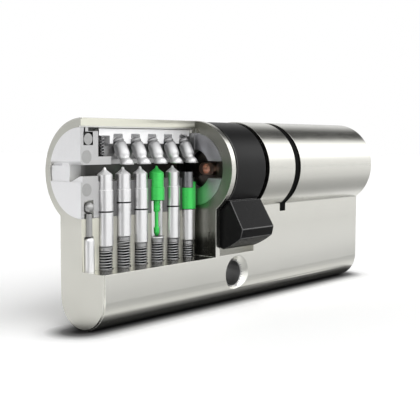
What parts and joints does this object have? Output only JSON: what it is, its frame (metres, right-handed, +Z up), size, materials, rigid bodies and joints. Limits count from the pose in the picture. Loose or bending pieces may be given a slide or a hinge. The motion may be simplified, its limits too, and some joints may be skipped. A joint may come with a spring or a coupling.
{
  "type": "euro profile double lock cylinder",
  "caption": "Cut-away Euro-profile double lock cylinder: sprung pins, side pins and side bar in an opened front half, with a turning cam.",
  "frame": {"origin": "centre of the M5 fixing-screw hole, at mid thickness of the flange", "axes": "+X along the plugs to the rear face, +Y along the fixing screw away from the cut side, +Z up to the barrel"},
  "size_m": [0.0762, 0.0181, 0.033],
  "materials": {
    "housing_nickel": "satin nickel plating on brass",
    "plug_nickel": "fine satin nickel plating on brass",
    "cam_black": "black satin sintered steel",
    "clutch_steel": "turned steel",
    "clutch_bronze": "pinkish bronze, satin",
    "clip_black": "black phosphated spring steel",
    "pin_steel": "bright satin steel",
    "pin_green": "green anodised satin metal",
    "cap_dark": "dark hardened steel",
    "spring_steel": "bright drawn spring wire",
    "insert_steel": "ground hardened steel",
    "bar_steel": "bright satin steel"
  },
  "bodies": {
    "housing": {"housing": "housing_nickel", "front_plug": "plug_nickel", "front_clip": "clip_black", "rear_clip": "clip_black", "anti_drill_pins": "insert_steel", "upper_ball": "insert_steel", "lower_ball": "insert_steel", "insert_pin": "insert_steel", "guard_pin": "pin_steel", "spring_1": "spring_steel", "spring_2": "spring_steel", "spring_3": "spring_steel", "spring_4": "spring_steel", "spring_5": "spring_steel", "spring_6": "spring_steel", "bar_spring_front": "spring_steel", "bar_spring_rear": "spring_steel", "rear_drivers": "pin_steel", "rear_springs": "spring_steel"},
    "rear_plug": {"rear_plug": "plug_nickel", "rear_key_pins": "pin_steel"},
    "cam": {"cam": "cam_black"},
    "clutch": {"clutch": "clutch_steel", "clutch_nose": "clutch_bronze"},
    "side_bar": {"side_bar": "bar_steel"},
    "driver_1": {"driver_1": "pin_steel"},
    "key_pin_1": {"key_pin_1": "pin_steel"},
    "driver_2": {"driver_2": "pin_steel"},
    "key_pin_2": {"key_pin_2": "pin_steel"},
    "driver_3": {"driver_3": "pin_steel"},
    "key_pin_3": {"key_pin_3": "pin_steel"},
    "driver_4": {"driver_4": "pin_steel", "stem_pin_4": "pin_green"},
    "key_pin_4": {"key_pin_4": "pin_green"},
    "driver_5": {"driver_5": "pin_steel"},
    "key_pin_5": {"key_pin_5": "pin_steel"},
    "driver_6": {"driver_6": "pin_steel"},
    "key_pin_6": {"key_pin_6": "pin_green", "key_pin_6_cap": "cap_dark"},
    "side_pin_1": {"side_pin_1": "pin_steel"},
    "side_pin_2": {"side_pin_2": "pin_steel"},
    "side_pin_3": {"side_pin_3": "pin_steel"},
    "side_pin_4": {"side_pin_4": "pin_steel"},
    "side_pin_5": {"side_pin_5": "pin_steel"}
  },
  "joints": [
    {"name": "rear_plug_turn", "type": "hinge", "parent": "housing", "child": "rear_plug", "pos_m": [0.03, 0, 0.01885], "axis": [1, 0, 0], "continuous": true},
    {"name": "cam_turn", "type": "hinge", "parent": "housing", "child": "cam", "pos_m": [0, 0, 0.01885], "axis": [1, 0, 0], "continuous": true},
    {"name": "clutch_slide", "type": "slide", "parent": "cam", "child": "clutch", "axis": [1, 0, 0], "range_m": [0, 0.0015]},
    {"name": "key_pin_1_slide", "type": "slide", "parent": "housing", "child": "key_pin_1", "axis": [0, 0, -1], "range_m": [0, 0.0015], "stiffness_N_per_m": 100, "springref_m": -0.003, "deforming": ["spring_1"]},
    {"name": "driver_1_slide", "type": "slide", "parent": "housing", "child": "driver_1", "axis": [0, 0, -1], "range_m": [0, 0.0015]},
    {"name": "driver_2_slide", "type": "slide", "parent": "housing", "child": "driver_2", "axis": [0, 0, -1], "range_m": [0, 0.0023], "stiffness_N_per_m": 100, "springref_m": -0.003, "deforming": ["spring_2"]},
    {"name": "key_pin_2_slide", "type": "slide", "parent": "housing", "child": "key_pin_2", "axis": [0, 0, -1], "range_m": [0, 0.0023]},
    {"name": "key_pin_3_slide", "type": "slide", "parent": "housing", "child": "key_pin_3", "axis": [0, 0, -1], "range_m": [0, 0.0015], "stiffness_N_per_m": 100, "springref_m": -0.003, "deforming": ["spring_3"]},
    {"name": "driver_3_slide", "type": "slide", "parent": "housing", "child": "driver_3", "axis": [0, 0, -1], "range_m": [0, 0.0015]},
    {"name": "key_pin_4_slide", "type": "slide", "parent": "housing", "child": "key_pin_4", "axis": [0, 0, -1], "range_m": [0, 0.00205], "stiffness_N_per_m": 100, "springref_m": -0.003, "deforming": ["spring_4"]},
    {"name": "driver_4_slide", "type": "slide", "parent": "housing", "child": "driver_4", "axis": [0, 0, -1], "range_m": [0, 0.00205]},
    {"name": "key_pin_5_slide", "type": "slide", "parent": "housing", "child": "key_pin_5", "axis": [0, 0, -1], "range_m": [0, 0.0015], "stiffness_N_per_m": 100, "springref_m": -0.003, "deforming": ["spring_5"]},
    {"name": "driver_5_slide", "type": "slide", "parent": "housing", "child": "driver_5", "axis": [0, 0, -1], "range_m": [0, 0.0015]},
    {"name": "key_pin_6_slide", "type": "slide", "parent": "housing", "child": "key_pin_6", "axis": [0, 0, -1], "range_m": [0, 0.0007], "stiffness_N_per_m": 100, "springref_m": -0.003, "deforming": ["spring_6"]},
    {"name": "driver_6_slide", "type": "slide", "parent": "housing", "child": "driver_6", "axis": [0, 0, -1], "range_m": [0, 0.0007]},
    {"name": "side_pin_1_slide", "type": "slide", "parent": "housing", "child": "side_pin_1", "axis": [0, 0.4617, 0.887], "range_m": [0, 0.00025]},
    {"name": "side_pin_2_slide", "type": "slide", "parent": "housing", "child": "side_pin_2", "axis": [0, 0.4617, 0.887], "range_m": [0, 0.00025]},
    {"name": "side_pin_3_slide", "type": "slide", "parent": "housing", "child": "side_pin_3", "axis": [0, 0.4617, 0.887], "range_m": [0, 0.00025]},
    {"name": "side_pin_4_slide", "type": "slide", "parent": "housing", "child": "side_pin_4", "axis": [0, 0.4617, 0.887], "range_m": [0, 0.00025]},
    {"name": "side_pin_5_slide", "type": "slide", "parent": "housing", "child": "side_pin_5", "axis": [0, 0.4617, 0.887], "range_m": [0, 0.00025]},
    {"name": "side_bar_slide", "type": "slide", "parent": "housing", "child": "side_bar", "axis": [0, 0, -1], "range_m": [0, 0.0002], "stiffness_N_per_m": 150, "springref_m": -0.002, "deforming": ["bar_spring_front", "bar_spring_rear"]}
  ],
  "couplings": [
    {"joint": "cam_turn", "follows": "rear_plug_turn", "ratio": 1},
    {"joint": "driver_1_slide", "follows": "key_pin_1_slide", "ratio": 1},
    {"joint": "key_pin_2_slide", "follows": "driver_2_slide", "ratio": 1},
    {"joint": "driver_3_slide", "follows": "key_pin_3_slide", "ratio": 1},
    {"joint": "driver_4_slide", "follows": "key_pin_4_slide", "ratio": 1},
    {"joint": "driver_5_slide", "follows": "key_pin_5_slide", "ratio": 1},
    {"joint": "driver_6_slide", "follows": "key_pin_6_slide", "ratio": 1}
  ]
}
